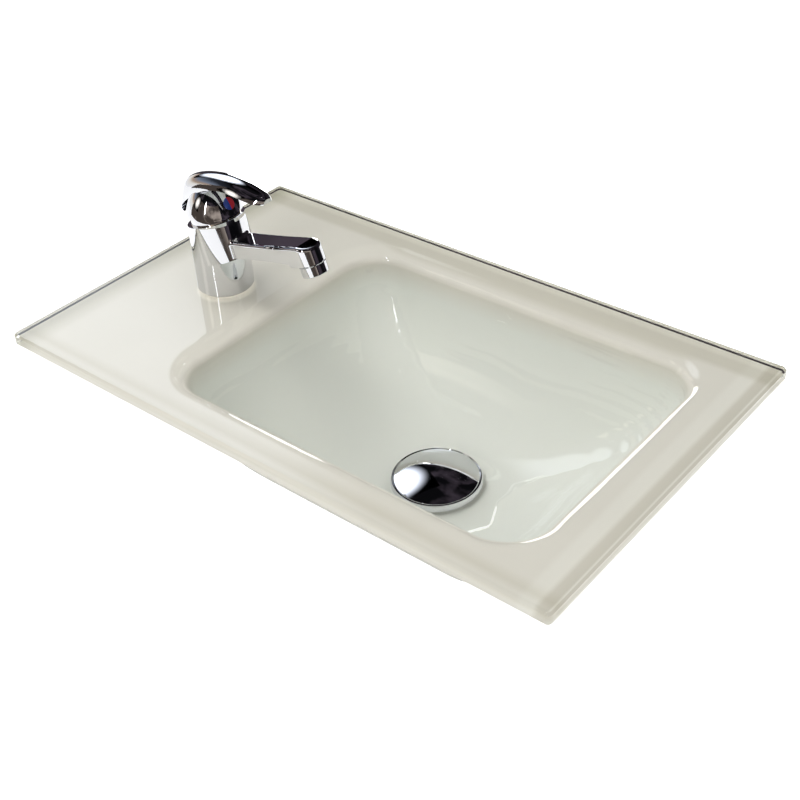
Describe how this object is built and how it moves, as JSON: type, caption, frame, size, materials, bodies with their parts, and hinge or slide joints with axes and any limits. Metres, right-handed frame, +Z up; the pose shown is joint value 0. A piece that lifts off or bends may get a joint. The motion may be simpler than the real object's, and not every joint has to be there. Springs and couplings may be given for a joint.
{
  "type": "washbasin",
  "caption": "Rectangular slumped-glass washbasin, lacquered on the back, with a chromed single-lever mixer on the left deck and a push-button waste in the bowl's floor.",
  "frame": {"origin": "centre of the slab's lacquered back, the face that rests on the cabinet", "axes": "+X along the slab from the mixer to the bowl, +Y towards the wall, +Z up"},
  "size_m": [0.5, 0.3, 0.2668],
  "materials": {
    "glass": "clear float glass, polished edges",
    "lacquer": "warm off-white lacquer seen through the glass",
    "chrome": "polished chrome plating",
    "brass": "plain turned brass",
    "steel": "stainless steel, as drawn",
    "rubber": "black rubber",
    "white_plastic": "white acetal",
    "grey_plastic": "dark grey moulded plastic",
    "ceramic": "lapped alumina",
    "indicator": "two-colour plug, one half blue and one half red"
  },
  "bodies": {
    "basin": {"glass_basin": "glass", "back_lacquer": "lacquer", "waste_flange_gasket": "rubber", "waste_body": "chrome", "waste_lower_seal": "rubber", "waste_slip_washer": "white_plastic", "waste_back_nut": "brass", "click_barrel": "white_plastic", "click_latch_ring": "white_plastic", "click_spring": "steel", "tap_body": "chrome", "tap_base_seal": "rubber", "aerator_collar": "chrome", "aerator_insert": "white_plastic", "aerator_gasket": "rubber", "cartridge_base": "grey_plastic", "cartridge_base_seals": "rubber", "cartridge_housing": "grey_plastic", "fixed_disc": "ceramic", "cartridge_nut": "brass", "neck_cover": "chrome", "mounting_stud": "steel", "horseshoe_rubber_washer": "rubber", "horseshoe_steel_washer": "steel", "stud_nut": "brass"},
    "plug": {"plug_cap": "chrome", "plug_seal": "rubber", "plug_stem": "steel"},
    "swivel": {"cartridge_rotor": "grey_plastic", "pivot_pin": "steel"},
    "lever": {"lever": "chrome", "lever_spindle": "brass", "grub_screw": "steel", "indicator_plug": "indicator"},
    "disc": {"moving_disc": "ceramic", "disc_carrier": "grey_plastic"}
  },
  "joints": [
    {"name": "mixer_swivel", "type": "hinge", "parent": "basin", "child": "swivel", "pos_m": [-0.166, 0, 0.0705], "axis": [-0.2588, 0, 0.9659], "range_deg": [-45, 45]},
    {"name": "lever_lift", "type": "hinge", "parent": "swivel", "child": "lever", "pos_m": [-0.166, 0, 0.0705], "axis": [0, -1, 0], "range_deg": [0, 20]},
    {"name": "disc_slide", "type": "slide", "parent": "swivel", "child": "disc", "axis": [0.9659, 0, 0.2588], "range_m": [0, 0.00436]},
    {"name": "plug_lift", "type": "slide", "parent": "basin", "child": "plug", "axis": [0, 0, 1], "range_m": [0, 0.007], "deforming": ["click_spring"]}
  ],
  "couplings": [
    {"joint": "disc_slide", "follows": "lever_lift", "m_per_rad": 0.012432}
  ]
}
